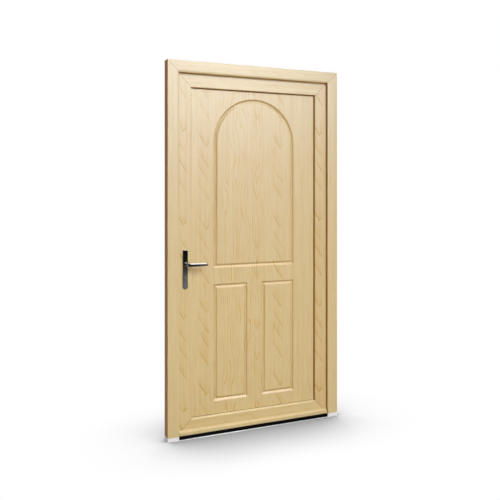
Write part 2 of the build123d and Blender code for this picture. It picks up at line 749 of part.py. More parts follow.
def handle_plate(v_face, outward):
    """Long plate, rounder at its foot; outward is -1 on the outside of the leaf and 1 on the inside."""
    half = PLATE_WIDTH / 2
    face = rect(-half, half, PLATE_BOTTOM, PLATE_TOP)
    for z, share in ((PLATE_BOTTOM, PLATE_BOTTOM_ROUND_SHARE), (PLATE_TOP, PLATE_TOP_ROUND_SHARE)):
        for x in (-half, half):
            face = rounded(face, x, z, share * PLATE_WIDTH)
    plate = crosswise(face, HANDLE_X, 0, *sorted((v_face, v_face + outward * PLATE_THICKNESS)))
    front = plate.faces().sort_by(Axis.Y)[0 if outward < 0 else -1]
    plate = fillet(front.edges(), PLATE_EDGE_ROUND)
    v0, v1 = sorted((v_face - outward * OVERRUN, v_face + outward * (PLATE_THICKNESS + OVERRUN)))
    plate -= crosswise(Circle(COLLAR_RADIUS + TURNING_CLEARANCE), HANDLE_X, LEVER_HEIGHT, v0, v1)
    plate -= crosswise(cylinder_outline(SCREW_CLEARANCE), HANDLE_X, CYLINDER_Z, v0, v1)
    return plate


def handle_plate_outside():
    """The screws end in blind holes in its back."""
    plate = handle_plate(SASH_V, -1)
    for z in SCREW_ZS:
        hole = Circle(SCREW_RADIUS + SCREW_CLEARANCE)
        plate -= crosswise(hole, HANDLE_X, z, SASH_V - PLATE_THICKNESS / 2, SASH_V + OVERRUN)
    return plate


def screw_head_v():
    return SASH_BACK + PLATE_THICKNESS - SCREW_HEAD_HEIGHT


def handle_plate_inside():
    plate = handle_plate(SASH_BACK, 1)
    for z in SCREW_ZS:
        back = SASH_BACK + PLATE_THICKNESS + OVERRUN
        plate -= crosswise(Circle(SCREW_RADIUS + SCREW_CLEARANCE), HANDLE_X, z, SASH_BACK - OVERRUN, back)
        plate -= crosswise(Circle(SCREW_HEAD_RADIUS + SCREW_CLEARANCE), HANDLE_X, z, screw_head_v(), back)
    return plate


def handle_screws():
    screws = []
    for z in SCREW_ZS:
        tip_v = SASH_V - PLATE_THICKNESS / 2 + SCREW_CLEARANCE
        shank = crosswise(Circle(SCREW_RADIUS), HANDLE_X, z, tip_v, screw_head_v())
        head = crosswise(Circle(SCREW_HEAD_RADIUS), HANDLE_X, z, screw_head_v(), SASH_BACK + PLATE_THICKNESS)
        screws.append(shank + head)
    return Compound(screws)


def lever(v_face, outward):
    """Lever: round collar in the plate, and an oval bar that bends towards the hinges and tapers."""
    away = outward * LEVER_REACH
    bend = outward * LEVER_BEND
    path = Line((0, 0, 0), (0, away - bend, 0))
    path += RadiusArc(path @ 1, (LEVER_BEND, away, 0), outward * LEVER_BEND)
    bar = sweep(Plane.XZ * Ellipse(LEVER_HALF_THICKNESS, LEVER_HALF_HEIGHT), path)
    half_thickness = LEVER_TAPER_SHARE * LEVER_HALF_THICKNESS
    half_height = LEVER_TAPER_SHARE * LEVER_HALF_HEIGHT
    start = Plane(origin=(LEVER_BEND, away, 0), x_dir=(0, 1, 0), z_dir=(1, 0, 0))
    end = start.offset(LEVER_LENGTH - LEVER_BEND)
    root = start * Ellipse(LEVER_HALF_THICKNESS, LEVER_HALF_HEIGHT)
    grip = loft([root, end * Ellipse(half_thickness, half_height)])
    tip_round = LEVER_TIP_SHARE * half_thickness ** 2 / half_height
    bar += fillet(grip.faces().sort_by(Axis.X)[-1].edges(), tip_round)
    plane = Plane(origin=(0, 0, 0), x_dir=(1, 0, 0), z_dir=(0, outward, 0))
    bar += extrude(plane * Circle(COLLAR_RADIUS), amount=PLATE_THICKNESS + COLLAR_HEIGHT)
    hole = SPINDLE_SIZE + 2 * SPINDLE_CLEARANCE
    bar -= extrude(plane * Rectangle(hole, hole), amount=SPINDLE_SOCKET)
    return Pos(HANDLE_X, y_of(v_face), LEVER_HEIGHT) * bar


def spindle():
    v0 = SASH_V - SPINDLE_SOCKET + SCREW_CLEARANCE
    v1 = SASH_BACK + SPINDLE_SOCKET - SCREW_CLEARANCE
    return crosswise(Rectangle(SPINDLE_SIZE, SPINDLE_SIZE), HANDLE_X, LEVER_HEIGHT, v0, v1)


# Lock

def edge_x(u):
    """x of a point u into the lock stile from the leaf's edge."""
    return u - SASH_X


def lock_case():
    half = CASE_THICKNESS / 2
    back = BACKSET + CASE_BEHIND_SPINDLE
    case = block(edge_x(CASE_FRONT), edge_x(back), LOCK_V - half, LOCK_V + half, CASE_BOTTOM, CASE_TOP)
    front, rear = LOCK_V - half - OVERRUN, LOCK_V + half + OVERRUN
    case -= crosswise(Circle(FOLLOWER_RADIUS), HANDLE_X, LEVER_HEIGHT, front, rear)
    case -= crosswise(cylinder_outline(SCREW_CLEARANCE), HANDLE_X, CYLINDER_Z, front, rear)
    case -= cam_pocket()
    slot = BOLT_THICKNESS / 2 + BOLT_CLEARANCE
    bolts = ((LATCH_Z, LATCH_HEIGHT, LATCH_LENGTH), (DEADBOLT_Z, DEADBOLT_HEIGHT, DEADBOLT_LENGTH))
    for z, height, length in bolts:
        reach = height / 2 + BOLT_CLEARANCE
        end = edge_x(length - FACEPLATE_THICKNESS + BOLT_CLEARANCE)
        start = edge_x(CASE_FRONT) - OVERRUN
        case -= block(start, end, LOCK_V - slot, LOCK_V + slot, z - reach, z + reach)
    return case


def lock_faceplate():
    half = FACEPLATE_WIDTH / 2
    low = SWING_ZS[0] - BOLT_CASE_BELOW - FACEPLATE_END
    high = SWING_ZS[1] + BOLT_CASE_ABOVE + FACEPLATE_END
    plate = block(edge_x(-FACEPLATE_THICKNESS), edge_x(0), LOCK_V - half, LOCK_V + half, low, high)
    plate = fillet(plate.edges().filter_by(Axis.X), FACEPLATE_THICKNESS)
    start = edge_x(-FACEPLATE_THICKNESS) - OVERRUN
    return plate - bolt_windows(start, edge_x(0) + OVERRUN, BOLT_CLEARANCE)


def flat_bolt(z, height, length):
    """Bolt that slides towards the jamb; at rest its nose is level with the faceplate."""
    half = BOLT_THICKNESS / 2
    nose = edge_x(-FACEPLATE_THICKNESS)
    low = z - height / 2
    return block(nose, nose + length, LOCK_V - half, LOCK_V + half, low, low + height)


def latch_bolt():
    """The bevel on its nose faces inside, so that the closing leaf pushes it back."""
    bolt = flat_bolt(LATCH_Z, LATCH_HEIGHT, LATCH_LENGTH)
    half = BOLT_THICKNESS / 2
    nose = edge_x(-FACEPLATE_THICKNESS)
    corner = bolt.edges().filter_by(Axis.Z).sort_by_distance((nose, y_of(LOCK_V - half), LATCH_Z))[0]
    return chamfer(corner, LATCH_BEVEL, LATCH_BEVEL)


def dead_bolt():
    return flat_bolt(DEADBOLT_Z, DEADBOLT_HEIGHT, DEADBOLT_LENGTH)


def swing_bolt(z):
    """Bolt that hangs from a pin near the leaf's edge and swings out into the jamb."""
    x = edge_x(SWING_BOLT_INSET)
    half = SWING_BOLT_THICKNESS / 2
    straight = SWING_BOLT_LENGTH - SWING_BOLT_WIDTH / 2
    face = Circle(SWING_BOLT_WIDTH / 2) + Pos(0, -straight / 2) * Rectangle(SWING_BOLT_WIDTH, straight)
    face += Pos(0, -straight) * Circle(SWING_BOLT_WIDTH / 2)
    face -= Circle(SWING_PIN_RADIUS + PIN_CLEARANCE)
    return crosswise(face, x, z, LOCK_V - half, LOCK_V + half)


def bolt_case(z):
    """Open-fronted case for a swinging bolt, with the pin that it hangs from."""
    half = CASE_THICKNESS / 2
    pocket = SWING_BOLT_THICKNESS / 2 + BOLT_CLEARANCE
    x0, x1 = edge_x(CASE_FRONT), edge_x(BOLT_CASE_DEPTH)
    case = block(x0, x1, LOCK_V - half, LOCK_V + half, z - BOLT_CASE_BELOW, z + BOLT_CASE_ABOVE)
    low = z - SWING_BOLT_LENGTH - SWEEP_CLEARANCE
    high = z + SWING_BOLT_WIDTH / 2 + SWEEP_CLEARANCE
    inner = edge_x(SWING_BOLT_INSET + SWING_BOLT_WIDTH / 2 + SWEEP_CLEARANCE)
    case -= block(x0 - OVERRUN, inner, LOCK_V - pocket, LOCK_V + pocket, low, high)
    pin = Circle(SWING_PIN_RADIUS)
    return case + crosswise(pin, edge_x(SWING_BOLT_INSET), z, LOCK_V - half, LOCK_V + half)


def drive_rods():
    """Flat rods behind the faceplate, from the lock to the swinging bolts; they travel upwards."""
    half = ROD_WIDTH / 2
    x0, x1 = edge_x(0), edge_x(ROD_THICKNESS)
    free_end = ROD_END_GAP + ROD_TRAVEL
    spans = (
        (SWING_ZS[0] + SWING_BOLT_WIDTH / 2 + ROD_END_GAP, DEADBOLT_Z - DEADBOLT_HEIGHT / 2 - free_end),
        (LATCH_Z + LATCH_HEIGHT / 2 + ROD_END_GAP, SWING_ZS[1] - SWING_BOLT_LENGTH - free_end),
    )
    return Compound([block(x0, x1, LOCK_V - half, LOCK_V + half, low, high) for low, high in spans])


def cylinder_body():
    """Lock cylinder, bored for the plug and cut away in the middle for the cam."""
    v0 = SASH_V - PLATE_THICKNESS - CYLINDER_PROUD
    v1 = SASH_BACK + PLATE_THICKNESS + CYLINDER_PROUD
    body = crosswise(cylinder_outline(0), HANDLE_X, CYLINDER_Z, v0, v1)
    body -= cam_pocket()
    bore = Circle(PLUG_RADIUS + PIN_CLEARANCE)
    return body - crosswise(bore, HANDLE_X, CYLINDER_Z, v0 - OVERRUN, v1 + OVERRUN)


def cylinder_plug():
    """Plug that turns with the key: a keyway at each end, and the cam that drives the bolts."""
    v0 = SASH_V - PLATE_THICKNESS - CYLINDER_PROUD - PLUG_PROUD
    v1 = SASH_BACK + PLATE_THICKNESS + CYLINDER_PROUD + PLUG_PROUD
    plug = crosswise(Circle(PLUG_RADIUS), HANDLE_X, CYLINDER_Z, v0, v1)
    half = CAM_THICKNESS / 2
    arm = CAM_REACH - CAM_WIDTH / 2
    cam = Circle(PLUG_RADIUS) + Pos(0, -arm / 2) * Rectangle(CAM_WIDTH, arm)
    cam += Pos(0, -arm) * Circle(CAM_WIDTH / 2)
    plug += crosswise(cam, HANDLE_X, CYLINDER_Z, LOCK_V - half, LOCK_V + half)
    keyway = Rectangle(KEYWAY_WIDTH, KEYWAY_HEIGHT)
    plug -= crosswise(keyway, HANDLE_X, CYLINDER_Z, v0 - OVERRUN, v0 + KEYWAY_DEPTH)
    return plug - crosswise(keyway, HANDLE_X, CYLINDER_Z, v1 - KEYWAY_DEPTH, v1 + OVERRUN)


def all_parts():
    parts = {
        "frame_jamb_left": frame_jamb_left(),
        "frame_jamb_right": frame_jamb_right(),
        "frame_head": frame_head(),
        "frame_steel_left": frame_steel_left(),
        "frame_steel_right": other_side(frame_steel_left()),
        "frame_steel_head": frame_steel_head(),
        "threshold_sill": threshold_sill(),
        "threshold_core": threshold_core(),
        "jamb_foot_left": jamb_foot_left(),
        "jamb_foot_right": other_side(jamb_foot_left()),
        "frame_gasket": frame_gasket(),
        "strike_plate": strike_plate(),
        "bolt_keep_bottom": bolt_keep(SWING_ZS[0]),
        "bolt_keep_top": bolt_keep(SWING_ZS[1]),
        "sash_stile_lock": sash_stile_lock(),
        "sash_stile_hinge": sash_stile_hinge(),
        "sash_top_rail": sash_top_rail(),
        "sash_bottom_rail": sash_bottom_rail(),
        "sash_steel_lock": sash_steel_lock(),
        "sash_steel_hinge": sash_steel_hinge(),
        "sash_steel_top": sash_steel_top(),
        "sash_steel_bottom": sash_steel_bottom(),
        "door_panel": door_panel(),
        "panel_gasket_outside": panel_gasket_outside(),
        "panel_gasket_inside": panel_gasket_inside(),
        "glazing_bead_left": glazing_bead_left(),
        "glazing_bead_right": other_side(glazing_bead_left()),
        "glazing_bead_top": glazing_bead_top(),
        "glazing_bead_bottom": glazing_bead_bottom(),
        "sash_gasket": sash_gasket(),
        "bottom_seal": bottom_seal(),
        "drip_bar": drip_bar(),
        "lock_faceplate": lock_faceplate(),
        "lock_case": lock_case(),
        "bolt_case_bottom": bolt_case(SWING_ZS[0]),
        "bolt_case_top": bolt_case(SWING_ZS[1]),
        "cylinder_body": cylinder_body(),
        "cylinder_plug": cylinder_plug(),
        "handle_plate_outside": handle_plate_outside(),
        "handle_plate_inside": handle_plate_inside(),
        "handle_screws": handle_screws(),
        "lever_outside": lever(SASH_V, -1),
        "lever_inside": lever(SASH_BACK, 1),
        "spindle": spindle(),
        "latch_bolt": latch_bolt(),
        "dead_bolt": dead_bolt(),
        "swing_bolt_bottom": swing_bolt(SWING_ZS[0]),
        "swing_bolt_top": swing_bolt(SWING_ZS[1]),
        "drive_rods": drive_rods(),
    }
    for number, z in enumerate(HINGE_ZS, start=1):
        parts[f"hinge_frame_leaf_{number}"] = hinge_frame_leaf(z)
        parts[f"hinge_sash_leaf_{number}"] = hinge_sash_leaf(z)
        parts[f"hinge_pin_{number}"] = hinge_pin(z)
    return parts


os.makedirs("parts", exist_ok=True)
for name, shape in all_parts().items():
    export_step(shape, f"parts/{name}.step")
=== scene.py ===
import math

import bmesh
import bpy
import numpy as np
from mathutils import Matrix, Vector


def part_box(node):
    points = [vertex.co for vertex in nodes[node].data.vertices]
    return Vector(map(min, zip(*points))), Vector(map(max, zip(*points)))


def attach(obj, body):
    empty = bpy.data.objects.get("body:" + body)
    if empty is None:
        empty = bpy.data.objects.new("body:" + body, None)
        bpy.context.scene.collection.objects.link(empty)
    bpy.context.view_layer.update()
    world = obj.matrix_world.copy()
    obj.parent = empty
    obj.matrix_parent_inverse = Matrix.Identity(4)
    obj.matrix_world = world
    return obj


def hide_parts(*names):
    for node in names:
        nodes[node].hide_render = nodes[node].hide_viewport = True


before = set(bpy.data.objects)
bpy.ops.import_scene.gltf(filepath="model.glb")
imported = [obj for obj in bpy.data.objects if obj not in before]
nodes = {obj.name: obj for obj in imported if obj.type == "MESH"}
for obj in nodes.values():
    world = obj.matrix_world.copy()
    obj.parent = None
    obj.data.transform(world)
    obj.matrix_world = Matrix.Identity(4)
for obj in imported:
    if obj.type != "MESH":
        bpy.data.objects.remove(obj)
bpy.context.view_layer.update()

scene = bpy.context.scene
scene.view_settings.view_transform = "Standard"
print("frame loaded:", len(nodes), "pieces")

# Camera: level, to the left of the door, with its view shifted down to take in the threshold
camera = {"place": (-1.576, -3.532, 1.417), "yaw": 23.585, "lens": 46.58, "sensor": 36, "drop": -0.1204}
lens = bpy.data.cameras.new("camera")
lens.sensor_width = camera["sensor"]
lens.lens = camera["lens"]
lens.shift_y = camera["drop"]
viewer = bpy.data.objects.new("camera", lens)
viewer.location = camera["place"]
viewer.rotation_euler = (math.radians(90), 0, math.radians(-camera["yaw"]))
scene.collection.objects.link(viewer)
scene.camera = viewer
print("camera set")


def linear(code):
    # sRGB hex to linear red, green, blue and alpha
    share = np.array([int(code[i:i + 2], 16) for i in (1, 3, 5)]) / 255
    value = np.where(share <= 0.04045, share / 12.92, ((share + 0.055) / 1.055) ** 2.4)
    return (*value.tolist(), 1.0)


def addNode(tree, kind, inputs=(), out=0, **settings):
    # one node and the socket it gives out: settings are its own properties, inputs are plain values
    # or sockets to link from, in order or by name
    node = tree.nodes.new("ShaderNode" + kind)
    for key, value in settings.items():
        setattr(node, key, value)
    for key, value in (inputs.items() if isinstance(inputs, dict) else enumerate(inputs)):
        if isinstance(value, bpy.types.NodeSocket):
            tree.links.new(value, node.inputs[key])
        else:
            node.inputs[key].default_value = value
    return node.outputs[out] if node.outputs else node


def newMaterial(name, sockets):
    # a material with one Principled shader, whose plain values are set on its own sockets
    material = bpy.data.materials.new(name)
    material.use_nodes = True
    tree = material.node_tree
    tree.nodes.clear()
    surface = addNode(tree, "BsdfPrincipled", sockets)
    addNode(tree, "OutputMaterial", {"Surface": surface})
    return material, tree, surface.node.inputs, addNode(tree, "TexCoord", out="Object")


def dress(material, *names):
    for name in names:
        nodes[name].data.materials.clear()
        nodes[name].data.materials.append(material)


# Foil: sizes in metres; each entry of cells is a soft noise's width across the grain and length along it.
# The printed fibres are under 1 mm wide, and are drawn 3 mm wide so that they show
foil = {
    "pale": "#cdbf91", "brown": "#b5880e", "core": "#9e6d38", "weld": "#9a7443",
    # painted warm shade on the rebates: its colour, strength and how far behind the face it starts
    "rebateShade": "#c98a35", "rebateShadeDepth": 0.75, "rebateFrom": 0.002,
    # painted highlight on upper edges: its colour, strength, softness and drop below the piece's top
    "highlightColour": "#ecdbb0", "highlightDepth": 0.6, "highlightSoft": 0.002, "highlightDrop": 0.006,
    "roughness": 0.48, "bareRoughness": 0.75, "specular": 0.8, "relief": 0.1, "reliefHigh": 0.0001,
    "cells": {"fibre": (0.003, 0.16), "band": (0.014, 0.55), "jag": (0.008, 0.025),
              "drift": (0.11, 0.42), "fade": (0.05, 0.11)},
    "detail": 2.0, "base": -0.24, "fibres": 0.50, "bands": 0.38,
    # growth lines: how steeply they slant and curl up, how they fade, and where they thin out or end
    "slant": 1.45, "upturn": 0.012, "curl": 4.0, "fading": 14.0, "stroke": 9.0, "halo": 0.30,
    "lineWax": (0.35, 0.6, 0.4, 1.0), "leftEnd": (0.75, 1.0, 1.0, 0.0), "rightEnd": (0.0, 0.12, 0.0, 1.0),
    # veins: their spacing, how far they wander, how thin they are, and how they weaken away from one line
    "veinPitch": 0.017, "veinSwing": 8.0, "veinThin": 12.0, "veinNear": (0.09, 0.17), "veinRest": 0.3,
    "veinWax": (0.4, 0.65, 0.2, 1.0),
    "weldWidth": 0.0011, "skin": 0.0004,
    # painted groove shade: where its two lines lie from a groove's middle, their width, their fade up the
    # arch
    "grooveShadeAt": 0.0072, "grooveShadeWidth": 0.0035, "grooveShadeFade": 0.05,
}


def mapleFoil(name, upright, grain, rim=None):
    # maple-look foil, satin: faint fibres and bands along the length, columns of short slanting growth
    # lines with a ragged point at each repeat, long wavy veins, painted shade along the grooves' edges, a
    # painted highlight along the upper edge, a thin dark line at each welded mitre, painted warm shade on
    # the rebates, and bare brown plastic on the sides that the foil leaves
    material, tree, shader, place = newMaterial(name, {"Specular IOR Level": foil["specular"]})
    x, y, z = addNode(tree, "SeparateXYZ", [place]).node.outputs
    side, along = (x, z) if upright else (z, x)
    flat = addNode(tree, "CombineXYZ", [side, y, along])
    soft = {}
    for key, (across, length) in foil["cells"].items():
        scale = (1 / across, 1 / across, 1 / length)
        scaled = addNode(tree, "VectorMath", [flat, scale], operation="MULTIPLY")
        soft[key] = addNode(tree, "TexNoise", {"Vector": scaled, "Scale": 1.0, "Detail": foil["detail"]})
    base = foil["base"] + grain.get("shade", 0.0)
    tone = addNode(tree, "Math", [soft["fibre"], foil["fibres"], base], operation="MULTIPLY_ADD")
    tone = addNode(tree, "Math", [soft["band"], foil["bands"], tone], operation="MULTIPLY_ADD")

    wax = addNode(tree, "MapRange", [soft["fade"], *foil["lineWax"]])
    for column in grain["columns"]:
        # growth lines: each is darkest just above a slanting or a pointed line, and fades upwards from it
        off = addNode(tree, "Math", [side, -column["across"]], operation="ADD")
        if column["repeat"]:
            half = 0.5 * column["repeat"]
            off = addNode(tree, "Math", [off, half, -half], operation="WRAP")
        toLeft = addNode(tree, "Math", [off, -1.0], operation="MULTIPLY")
        toLeft = addNode(tree, "Math", [toLeft, 0.0], operation="MAXIMUM")
        toRight = addNode(tree, "Math", [off, 0.0], operation="MAXIMUM")
        point = addNode(tree, "Math", [toLeft, column["slopes"][0]], operation="MULTIPLY")
        point = addNode(tree, "Math", [toRight, column["slopes"][1], point], operation="MULTIPLY_ADD")
        back = addNode(tree, "Math", [column["right"], off], operation="SUBTRACT")
        share = addNode(tree, "Math", [back, 1 / (column["left"] + column["right"])], operation="MULTIPLY")
        curl = addNode(tree, "Math", [share, foil["curl"]], operation="POWER")
        slant = addNode(tree, "Math", [back, foil["slant"]], operation="MULTIPLY")
        slant = addNode(tree, "Math", [curl, foil["upturn"], slant], operation="MULTIPLY_ADD")
        wavy = addNode(tree, "Math", [soft["jag"], column["ragged"], along], operation="MULTIPLY_ADD")
        within = addNode(tree, "MapRange", [share, *foil["leftEnd"]])
        edge = addNode(tree, "MapRange", [share, *foil["rightEnd"]])
        within = addNode(tree, "Math", [within, edge], operation="MULTIPLY")
        within = addNode(tree, "Math", [within, wax], operation="MULTIPLY")
        for below, depth, rise in column["lines"]:
            level = addNode(tree, "Math", [wavy, slant if rise == "slant" else point], operation="SUBTRACT")
            start = below - (column["along"] + 0.5 * column["ragged"]) / column["period"]
            step = addNode(tree, "Math", [level, 1 / column["period"], start], operation="MULTIPLY_ADD")
            step = addNode(tree, "Math", [step], operation="FRACT")
            step = addNode(tree, "Math", [1.0, step], operation="SUBTRACT")
            shade = addNode(tree, "Math", [step, foil["fading"]], operation="POWER")
            stroke = addNode(tree, "Math", [shade, foil["stroke"]], operation="POWER")
            stroke = addNode(tree, "Math", [shade, foil["halo"], stroke], operation="MULTIPLY_ADD")
            stroke = addNode(tree, "Math", [stroke, within], operation="MULTIPLY")
            tone = addNode(tree, "Math", [stroke, depth, tone], operation="MULTIPLY_ADD")

    # veins: thin dark lines where a wandering phase comes round, strongest near one line of the panel
    phase = addNode(tree, "Math", [side, 1 / foil["veinPitch"]], operation="MULTIPLY")
    phase = addNode(tree, "Math", [soft["drift"], foil["veinSwing"], phase], operation="MULTIPLY_ADD")
    turn = addNode(tree, "Math", [phase, 2 * math.pi], operation="MULTIPLY")
    wave = addNode(tree, "Math", [turn], operation="COSINE")
    wave = addNode(tree, "Math", [wave, 0.5, 0.5], operation="MULTIPLY_ADD")
    wave = addNode(tree, "Math", [wave, foil["veinThin"]], operation="POWER")
    wax = addNode(tree, "MapRange", [soft["fade"], *foil["veinWax"]])
    wave = addNode(tree, "Math", [wave, wax], operation="MULTIPLY")
    away = addNode(tree, "Math", [side, -grain["veinAt"]], operation="ADD")
    away = addNode(tree, "Math", [away], operation="ABSOLUTE")
    strength = (grain["veins"], grain["veins"] * foil["veinRest"])
    near = addNode(tree, "MapRange", [away, *foil["veinNear"], *strength])
    tone = addNode(tree, "Math", [wave, near, tone], operation="MULTIPLY_ADD", use_clamp=True)
    layers = [(tone, foil["brown"])]  # each layer's share and colour, laid in turn over the pale foil

    for grooveShade in grain.get("grooveShades", ()):
        # painted groove shade: browner lines along a groove's two edges, standing for the shade that falls
        # there; the distance from the groove's middle line is that of a box's outline, with a round arch over
        # it where there is one, and the inner edge's line fades up the arch
        reach = addNode(tree, "Math", [x], operation="ABSOLUTE")
        reach = addNode(tree, "Math", [reach, -grooveShade["middle"]], operation="ADD")
        rise = addNode(tree, "Math", [z, -grooveShade["springing"]], operation="ADD")
        rise = addNode(tree, "Math", [rise, 0.0], operation="MAXIMUM")
        reach = addNode(tree, "CombineXYZ", [reach, 0.0, rise])
        reach = addNode(tree, "VectorMath", [reach], operation="LENGTH", out="Value")
        reach = addNode(tree, "Math", [reach, -grooveShade["half"]], operation="ADD")
        under = addNode(tree, "Math", [grooveShade["foot"], z], operation="SUBTRACT")
        reach = addNode(tree, "Math", [reach, under], operation="MAXIMUM")
        over = addNode(tree, "Math", [z, -grooveShade["top"]], operation="ADD")
        reach = addNode(tree, "Math", [reach, over], operation="MAXIMUM")
        outer = addNode(tree, "Math", [reach, -foil["grooveShadeAt"]], operation="ADD")
        outer = addNode(tree, "Math", [outer], operation="ABSOLUTE")
        inner = addNode(tree, "Math", [reach, foil["grooveShadeAt"]], operation="ADD")
        inner = addNode(tree, "Math", [inner], operation="ABSOLUTE")
        inner = addNode(tree, "Math", [rise, foil["grooveShadeFade"], inner], operation="MULTIPLY_ADD")
        reach = addNode(tree, "Math", [outer, inner], operation="MINIMUM")
        line = addNode(tree, "MapRange", [reach, 0.0, foil["grooveShadeWidth"], grooveShade["depth"], 0.0])
        layers.append((line, grooveShade["colour"]))
    if "highlightLevel" in grain:
        # painted highlight: paler above a level, standing for the light on the piece's upper edge
        start = grain["highlightLevel"] - foil["highlightSoft"]
        highlightShare = addNode(tree, "MapRange", [z, start, grain["highlightLevel"], 0.0, foil["highlightDepth"]])
        layers.append((highlightShare, foil["highlightColour"]))
    shader["Roughness"].default_value = foil["roughness"]
    if rim:
        # mitre welds: 45 degree lines out from the opening's corners
        reach = addNode(tree, "Math", [x], operation="ABSOLUTE")
        gap = addNode(tree, "Math", [z, reach], operation="SUBTRACT")
        gap = addNode(tree, "Math", [gap, rim["inner"] - rim["openTop"]], operation="ADD")
        gap = addNode(tree, "Math", [gap], operation="ABSOLUTE")
        if rim["openLow"] is not None:
            fall = addNode(tree, "Math", [z, reach], operation="ADD")
            fall = addNode(tree, "Math", [fall, -rim["inner"] - rim["openLow"]], operation="ADD")
            fall = addNode(tree, "Math", [fall], operation="ABSOLUTE")
            gap = addNode(tree, "Math", [gap, fall], operation="MINIMUM")
        weld = addNode(tree, "MapRange", [gap, foil["weldWidth"], 2 * foil["weldWidth"], 1.0, 0.0])
        layers.append((weld, foil["weld"]))
        # painted warm shade on the rebates: the faces that run back from the front are warmer, standing for
        # the shade there and the light that foil throws on foil
        rebateShadeMask = addNode(tree, "Math", [y, rim["face"] + foil["rebateFrom"]], operation="GREATER_THAN")
        front = addNode(tree, "Math", [y, rim["back"]], operation="LESS_THAN")
        rebateShadeMask = addNode(tree, "Math", [rebateShadeMask, front], operation="MULTIPLY")
        rebateShadeMask = addNode(tree, "Math", [rebateShadeMask, foil["rebateShadeDepth"]], operation="MULTIPLY")
        layers.append((rebateShadeMask, foil["rebateShade"]))
        # bare sides: beyond the rim, except on the inside face
        if not upright:
            reach = addNode(tree, "Math", [z, rim["low"] + rim["top"]], operation="SUBTRACT")
            reach = addNode(tree, "Math", [z, reach], operation="ADD")
            reach = addNode(tree, "Math", [reach], operation="ABSOLUTE")
        limit = rim["outer"] if upright else rim["top"] - rim["low"]
        bare = addNode(tree, "Math", [reach, limit - foil["skin"]], operation="GREATER_THAN")
        bare = addNode(tree, "Math", [bare, front], operation="MULTIPLY")
        layers.append((bare, foil["core"]))
        gloss = addNode(tree, "MapRange", [bare, 0.0, 1.0, foil["roughness"], foil["bareRoughness"]])
        tree.links.new(gloss, shader["Roughness"])
    colour = linear(foil["pale"])
    for share, code in layers:
        colour = addNode(tree, "Mix", {0: share, 6: colour, 7: linear(code)}, out=2, data_type="RGBA")
    tree.links.new(colour, shader["Base Color"])
    bump = {"Height": soft["fibre"], "Strength": foil["relief"], "Distance": foil["reliefHigh"]}
    tree.links.new(addNode(tree, "Bump", bump), shader["Normal"])
    return material


# Rims that the welds, the rebates' painted shade and the bare sides are measured from: the frame's and
# the leaf's own edges
headLow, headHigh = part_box("frame_head")
jambLow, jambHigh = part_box("frame_jamb_right")
stileLow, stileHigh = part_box("sash_stile_hinge")
topLow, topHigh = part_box("sash_top_rail")
railLow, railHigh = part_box("sash_bottom_rail")
overlap = 0.020  # how far the leaf's inner lip covers the frame
frameRim = {"outer": jambHigh.x, "inner": jambLow.x, "top": headHigh.z, "low": 0.0,
            "openTop": headLow.z, "openLow": None, "face": jambLow.y, "back": jambHigh.y + foil["skin"]}
leafRim = {"outer": stileHigh.x - overlap, "inner": stileLow.x, "top": topHigh.z - overlap, "low": railLow.z,
           "openTop": topLow.z, "openLow": railHigh.z, "face": topLow.y, "back": topHigh.y - foil["skin"]}
lowRim = {**leafRim, "face": leafRim["back"]}  # the bottom rail has no rebate in front

# Grain of each run: its columns of growth lines, and the strength and place of its veins
panelColumn = {"across": -0.308, "repeat": 0.478, "along": 0.221, "period": 0.481,
               "left": 0.055, "right": 0.022, "slopes": (1.65, 1.25), "ragged": 0.010, "lines": (
                   (0.0, 1.1, "point"), (0.27, 0.75, "slant"), (0.443, 0.85, "slant"), (0.665, 0.9, "slant"))}
centreColumn = {"across": 0.016, "repeat": 0.0, "along": 0.394, "period": 0.481,
                "left": 0.026, "right": 0.020, "slopes": (2.6, 2.2), "ragged": 0.030, "lines": (
                    (0.0, 0.9, "point"), (0.17, 0.4, "point"), (0.624, 0.9, "point"), (0.80, 0.4, "point"))}
stileColumn = {**panelColumn, "repeat": 0.0, "along": 0.148, "period": 0.533, "left": 0.056, "right": 0.026,
               "slopes": (1.65, 0.85)}
flatColumn = {**stileColumn, "left": 0.024, "right": 0.018, "lines": (
    (0.1, 0.25, "slant"), (0.38, 0.25, "slant"), (0.72, 0.25, "slant"))}
hingeColumn = {**stileColumn, "across": 0.432, "along": 0.155}
# painted groove shade, by the grooves' middle lines: the arched field, and the pair of fields below
# it, whose springing is above their top and so leaves them square
archGrooveShade = {"middle": 0.0, "half": 0.250, "springing": 1.696, "foot": 0.972, "top": 2.0,
              "colour": "#c48534", "depth": 0.5}
lowGrooveShade = {"middle": 0.154, "half": 0.096, "springing": 1.696, "foot": 0.196, "top": 0.855,
             "colour": "#aa6a24", "depth": 0.5}
panelGrain = {"columns": [panelColumn, centreColumn], "veins": 0.75, "veinAt": -0.09,
              "grooveShades": (archGrooveShade, lowGrooveShade)}
lockGrain = {"columns": [{**stileColumn, "across": -0.453}], "veins": 0.15, "veinAt": -0.40}
hingeGrain = {"columns": [hingeColumn], "veins": 0.15, "veinAt": 0.40, "shade": 0.07}
plainGrain = {"columns": [], "veins": 0.16, "veinAt": 0.5, "shade": -0.06}
headGrain = {"columns": [{**flatColumn, "across": 2.115}], "veins": 0.12, "veinAt": 2.1}
topGrain = {"columns": [{**flatColumn, "across": 2.045}], "veins": 0.12, "veinAt": 2.0}
